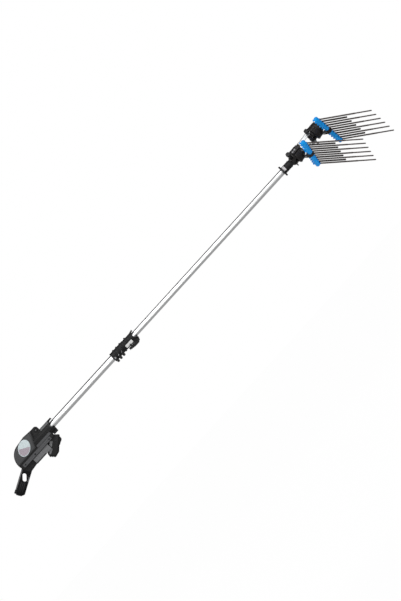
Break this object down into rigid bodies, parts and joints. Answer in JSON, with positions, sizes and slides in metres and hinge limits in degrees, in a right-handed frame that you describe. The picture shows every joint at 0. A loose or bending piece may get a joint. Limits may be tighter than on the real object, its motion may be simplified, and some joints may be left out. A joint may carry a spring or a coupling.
{
  "type": "electric olive harvester",
  "caption": "Hand-held electric olive harvester: telescopic pole with a pistol-grip handle, and tilting heads whose bars of thin rods swing in opposite directions to comb fruit off branches.",
  "frame": {"origin": "on the pole axis above the pistol grip, just in front of the handle mouth", "axes": "+X along the pole towards the combs, +Z towards the top of the handle, -Y is the side the picture shows"},
  "size_m": [2.3566, 0.3318, 0.334],
  "materials": {
    "shell_black": "fine-grained moulded plastic",
    "cover_grey": "satin grey moulding",
    "panel_light": "light grey satin moulding",
    "rail_grey": "dark grey satin moulding",
    "button_black": "glossy moulding",
    "tube_alu": "satin anodised tube",
    "plate_alu": "brushed flat bar",
    "steel": "turned steel",
    "bar_blue": "bright blue moulded polymer",
    "rod_carbon": "dark fibre rod, faint brown tint",
    "bush_white": "plain acetal",
    "board_green": "lacquered board",
    "motor_can": "zinc-plated can",
    "drum_black": "glass-filled moulding, satin"
  },
  "bodies": {
    "handle": {"handle_shell_left": "shell_black", "handle_shell_right": "shell_black", "side_cover_left": "cover_grey", "side_cover_right": "cover_grey", "bottom_panel": "panel_light", "grip_pads": "panel_light", "trigger_pin": "steel", "trigger_switch": "button_black", "controller_board": "board_green", "power_inlet": "shell_black", "tail_cap": "shell_black", "button_bezel": "shell_black", "pinch_bolt": "steel", "shell_screws": "steel", "side_rail_left": "rail_grey", "side_rail_right": "rail_grey", "lower_tube": "tube_alu", "lock_clamp": "shell_black", "lock_screws": "steel", "lever_pin": "steel"},
    "trigger": {"trigger": "shell_black"},
    "mode_button": {"mode_button": "button_black"},
    "lock_lever": {"lock_lever": "shell_black"},
    "slider": {"guide_bush": "bush_white"},
    "boom": {"upper_tube": "tube_alu", "neck_socket": "shell_black", "neck_screws": "steel", "tilt_bolt_1": "steel"},
    "knob_1": {"tilt_knob_1": "button_black"},
    "head_1": {"head1_drum": "drum_black", "head1_front_cover": "drum_black", "head1_cover_screws": "steel", "head1_motor": "motor_can", "head1_bearings": "steel", "link_plates": "plate_alu", "link_screws": "steel", "link_spacers": "plate_alu", "tilt_bolt_2": "steel"},
    "crank_1": {"head1_crank": "steel"},
    "comb_1": {"comb1_yoke": "drum_black", "comb1_shaft": "steel", "comb1_rocker": "steel", "comb1_bar_left": "bar_blue", "comb1_bar_right": "bar_blue", "comb1_rods_long": "rod_carbon", "comb1_rods_short": "rod_carbon"},
    "knob_2": {"tilt_knob_2": "button_black"},
    "head_2": {"head2_drum": "drum_black", "head2_front_cover": "drum_black", "head2_cover_screws": "steel", "head2_motor": "motor_can", "head2_bearings": "steel"},
    "crank_2": {"head2_crank": "steel"},
    "comb_2": {"comb2_yoke": "drum_black", "comb2_shaft": "steel", "comb2_rocker": "steel", "comb2_bar_left": "bar_blue", "comb2_bar_right": "bar_blue", "comb2_rods_long": "rod_carbon", "comb2_rods_short": "rod_carbon"}
  },
  "joints": [
    {"name": "trigger_pull", "type": "hinge", "parent": "handle", "child": "trigger", "pos_m": [-0.06198, 0, -0.05682], "axis": [0, 1, 0], "range_deg": [0, 12], "stiffness_Nm_per_rad": 0.6, "springref_deg": -14.32},
    {"name": "button_press", "type": "slide", "parent": "handle", "child": "mode_button", "axis": [0, 1, 0], "range_m": [0, 0.0025], "stiffness_N_per_m": 500, "springref_m": -0.002},
    {"name": "lever_open", "type": "hinge", "parent": "handle", "child": "lock_lever", "pos_m": [0.508, 0, -0.028], "axis": [0, -1, 0], "range_deg": [0, 110]},
    {"name": "pole_slide", "type": "slide", "parent": "handle", "child": "slider", "axis": [-1, 0, 0], "range_m": [0, 0.4]},
    {"name": "pole_twist", "type": "hinge", "parent": "slider", "child": "boom", "pos_m": [0.36, 0, 0], "axis": [1, 0, 0], "range_deg": [-90, 90]},
    {"name": "knob_1_turn", "type": "hinge", "parent": "boom", "child": "knob_1", "pos_m": [1.574, 0, 0], "axis": [0, 0.8387, -0.5446], "continuous": true},
    {"name": "tilt_1", "type": "hinge", "parent": "boom", "child": "head_1", "pos_m": [1.574, 0, 0], "axis": [0, -0.8387, 0.5446], "range_deg": [-30, 25]},
    {"name": "knob_2_turn", "type": "hinge", "parent": "head_1", "child": "knob_2", "pos_m": [1.70639, 0.00694, 0.01069], "axis": [0, 0.8387, -0.5446], "continuous": true},
    {"name": "tilt_2", "type": "hinge", "parent": "head_1", "child": "head_2", "pos_m": [1.70639, 0.00694, 0.01069], "axis": [0, -0.8387, 0.5446], "range_deg": [-12, 30]},
    {"name": "comb1_swing", "type": "hinge", "parent": "head_1", "child": "comb_1", "pos_m": [1.634, -0.01546, -0.0238], "axis": [0.7314, 0.3714, 0.572], "range_deg": [-13.8, 1.8]},
    {"name": "comb2_swing", "type": "hinge", "parent": "head_2", "child": "comb_2", "pos_m": [1.76638, -0.00851, -0.01311], "axis": [0.7314, 0.3714, 0.572], "range_deg": [-1.85, 13.85]},
    {"name": "crank1_turn", "type": "hinge", "parent": "head_1", "child": "crank_1", "pos_m": [1.60842, -0.00052, -0.0008], "axis": [0.7314, 0.3714, 0.572], "range_deg": [-105.3, 13.9]},
    {"name": "crank2_turn", "type": "hinge", "parent": "head_2", "child": "crank_2", "pos_m": [1.74081, 0.00642, 0.00989], "axis": [0.7314, 0.3714, 0.572], "range_deg": [-13.9, 105.3]}
  ],
  "couplings": [
    {"joint": "comb2_swing", "follows": "comb1_swing", "ratio": -1},
    {"joint": "crank1_turn", "follows": "comb1_swing", "ratio": 7.62},
    {"joint": "crank2_turn", "follows": "comb1_swing", "ratio": -7.62}
  ]
}
